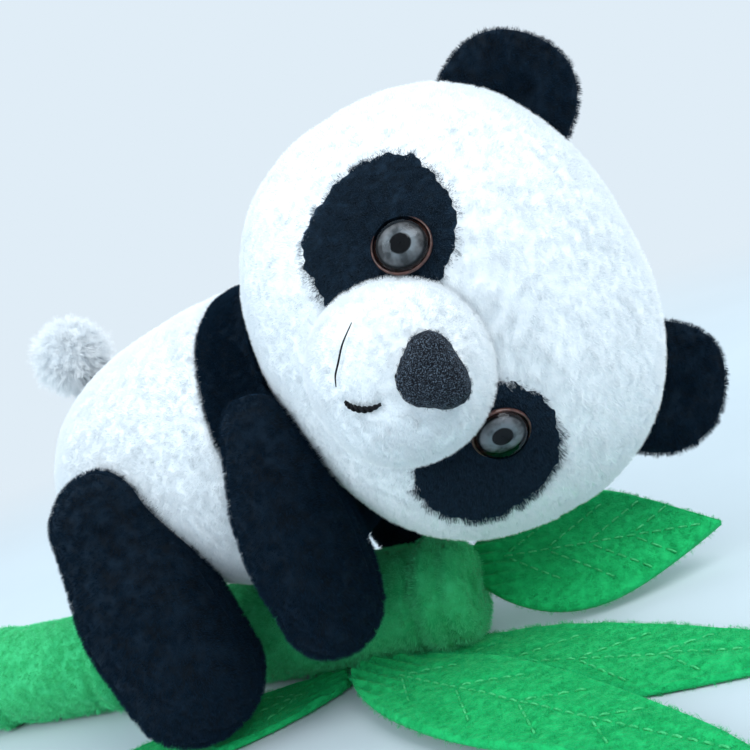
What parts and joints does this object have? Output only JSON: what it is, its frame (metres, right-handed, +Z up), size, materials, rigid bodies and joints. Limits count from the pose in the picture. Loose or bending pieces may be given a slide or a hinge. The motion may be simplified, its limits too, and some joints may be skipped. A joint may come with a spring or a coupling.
{
  "type": "plush panda on a bamboo branch",
  "caption": "Soft plush panda lying on its belly with its head turned sideways, hugging a plush bamboo stalk with sewn cloth leaves.",
  "frame": {"origin": "on the floor plane, on the middle line of the stalk's flat underside, under the middle of the panda's torso", "axes": "+Z up, +X along the stalk towards the panda's head, -Y towards the panda's right side, which its face looks to"},
  "size_m": [0.2822, 0.1316, 0.1467],
  "materials": {
    "white_plush": "short-pile plush",
    "black_plush": "short-pile plush",
    "green_plush": "short-pile plush",
    "leaf_cloth": "brushed knit cloth",
    "vein_thread": "sewing thread",
    "white_thread": "sewing thread",
    "black_thread": "embroidery thread",
    "fibre_filling": "loose polyester fibre",
    "clear_eye": "clear moulded dome",
    "eye_backing": "moulded, polished",
    "flocked_nose": "flocked",
    "washer_plastic": "moulded"
  },
  "bodies": {
    "torso": {"torso_cover": "white_plush", "shoulder_band": "black_plush", "torso_stuffing": "fibre_filling", "belly_stitching": "white_thread", "stalk_cover": "green_plush", "stalk_front_cap": "green_plush", "stalk_rear_cap": "green_plush", "stalk_stuffing": "fibre_filling", "stalk_joint_folds": "green_plush"},
    "neck": {"neck_stitching": "white_thread"},
    "head": {"head_face_panel": "white_plush", "head_back_panel": "white_plush", "head_stuffing": "fibre_filling", "muzzle_cover": "white_plush", "muzzle_stuffing": "fibre_filling", "nose": "flocked_nose", "nose_washer": "washer_plastic", "mouth_stitching": "black_thread", "eye_washers": "washer_plastic", "right_eye_patch": "black_plush", "right_eye_dome": "clear_eye", "right_eye_backing": "eye_backing", "left_eye_patch": "black_plush", "left_eye_dome": "clear_eye", "left_eye_backing": "eye_backing"},
    "right_ear": {"right_ear_front": "black_plush", "right_ear_back": "black_plush"},
    "left_ear": {"left_ear_front": "black_plush", "left_ear_back": "black_plush"},
    "right_shoulder": {"right_shoulder_stitching": "black_thread"},
    "right_arm": {"right_arm_cover": "black_plush", "right_arm_stuffing": "fibre_filling"},
    "left_shoulder": {"left_shoulder_stitching": "black_thread"},
    "left_arm": {"left_arm_cover": "black_plush", "left_arm_stuffing": "fibre_filling"},
    "right_hip": {"right_hip_stitching": "black_thread"},
    "right_leg": {"right_leg_cover": "black_plush", "right_leg_stuffing": "fibre_filling"},
    "left_hip": {"left_hip_stitching": "black_thread"},
    "left_leg": {"left_leg_cover": "black_plush", "left_leg_stuffing": "fibre_filling"},
    "tail": {"tail_cover": "white_plush", "tail_stuffing": "fibre_filling"},
    "front_leaf": {"front_leaf": "leaf_cloth", "front_leaf_veins": "vein_thread"},
    "side_leaf": {"side_leaf": "leaf_cloth", "side_leaf_veins": "vein_thread"},
    "far_leaf": {"far_leaf": "leaf_cloth", "far_leaf_veins": "vein_thread"},
    "rear_leaf": {"rear_leaf": "leaf_cloth", "rear_leaf_veins": "vein_thread"}
  },
  "joints": [
    {"name": "head_nod", "type": "hinge", "parent": "torso", "child": "neck", "pos_m": [0.018, 0, 0.078], "axis": [0, -1, 0], "range_deg": [-4, 7], "stiffness_Nm_per_rad": 4},
    {"name": "head_turn", "type": "hinge", "parent": "neck", "child": "head", "pos_m": [0.018, 0, 0.078], "axis": [0.9926, -0.0414, 0.1137], "range_deg": [-10, 10], "stiffness_Nm_per_rad": 1.5},
    {"name": "right_ear_flex", "type": "hinge", "parent": "head", "child": "right_ear", "pos_m": [0.0931, 0.00545, 0.12934], "axis": [0.6958, 0.2638, -0.668], "range_deg": [-15, 15], "stiffness_Nm_per_rad": 0.05},
    {"name": "left_ear_flex", "type": "hinge", "parent": "head", "child": "left_ear", "pos_m": [0.10731, 0.01421, 0.05315], "axis": [-0.4009, -0.082, -0.9125], "range_deg": [-15, 15], "stiffness_Nm_per_rad": 0.05},
    {"name": "right_arm_swing", "type": "hinge", "parent": "torso", "child": "right_shoulder", "pos_m": [0.022, -0.03314, 0.07825], "axis": [0.4416, -0.8608, 0.2532], "range_deg": [-8, 3], "stiffness_Nm_per_rad": 0.6},
    {"name": "right_arm_lift", "type": "hinge", "parent": "right_shoulder", "child": "right_arm", "pos_m": [0.022, -0.02857, 0.0917], "axis": [-1, 0, 0], "range_deg": [0, 40], "stiffness_Nm_per_rad": 0.6},
    {"name": "left_arm_swing", "type": "hinge", "parent": "torso", "child": "left_shoulder", "pos_m": [0.022, 0.03314, 0.07825], "axis": [-0.4416, -0.8608, -0.2532], "range_deg": [-8, 3], "stiffness_Nm_per_rad": 0.6},
    {"name": "left_arm_lift", "type": "hinge", "parent": "left_shoulder", "child": "left_arm", "pos_m": [0.022, 0.02857, 0.0917], "axis": [1, 0, 0], "range_deg": [0, 40], "stiffness_Nm_per_rad": 0.6},
    {"name": "right_leg_swing", "type": "hinge", "parent": "torso", "child": "right_hip", "pos_m": [-0.0235, -0.03088, 0.0625], "axis": [-0.2969, -0.9374, -0.1823], "range_deg": [-8, 8], "stiffness_Nm_per_rad": 1},
    {"name": "right_leg_lift", "type": "hinge", "parent": "right_hip", "child": "right_leg", "pos_m": [-0.0235, -0.02578, 0.077], "axis": [-1, 0, 0], "range_deg": [0, 40], "stiffness_Nm_per_rad": 1},
    {"name": "left_leg_swing", "type": "hinge", "parent": "torso", "child": "left_hip", "pos_m": [-0.0235, 0.03088, 0.0625], "axis": [0.2969, -0.9374, 0.1823], "range_deg": [-8, 8], "stiffness_Nm_per_rad": 1},
    {"name": "left_leg_lift", "type": "hinge", "parent": "left_hip", "child": "left_leg", "pos_m": [-0.0235, 0.02578, 0.077], "axis": [1, 0, 0], "range_deg": [0, 40], "stiffness_Nm_per_rad": 1},
    {"name": "tail_wiggle", "type": "hinge", "parent": "torso", "child": "tail", "pos_m": [-0.03989, 0, 0.09614], "axis": [0, 1, 0], "range_deg": [-18, 18], "stiffness_Nm_per_rad": 0.02},
    {"name": "front_leaf_lift", "type": "hinge", "parent": "torso", "child": "front_leaf", "pos_m": [0.02, -0.012, 0.0003], "axis": [-0.1736, -0.9848, 0], "range_deg": [0, 10], "stiffness_Nm_per_rad": 0.05},
    {"name": "side_leaf_lift", "type": "hinge", "parent": "torso", "child": "side_leaf", "pos_m": [0.018, -0.016, 0.0036], "axis": [-0.515, -0.8572, 0], "range_deg": [0, 10], "stiffness_Nm_per_rad": 0.05},
    {"name": "far_leaf_sweep", "type": "hinge", "parent": "torso", "child": "far_leaf", "pos_m": [0.046, 0.0115, 0.016], "axis": [0, 0, 1], "range_deg": [-6, 6], "stiffness_Nm_per_rad": 0.05},
    {"name": "rear_leaf_sweep", "type": "hinge", "parent": "torso", "child": "rear_leaf", "pos_m": [0.012, -0.013, 0.0003], "axis": [0, 0, 1], "range_deg": [-6, 6], "stiffness_Nm_per_rad": 0.05}
  ],
  "couplings": [
    {"joint": "side_leaf_lift", "follows": "front_leaf_lift", "ratio": 1}
  ]
}
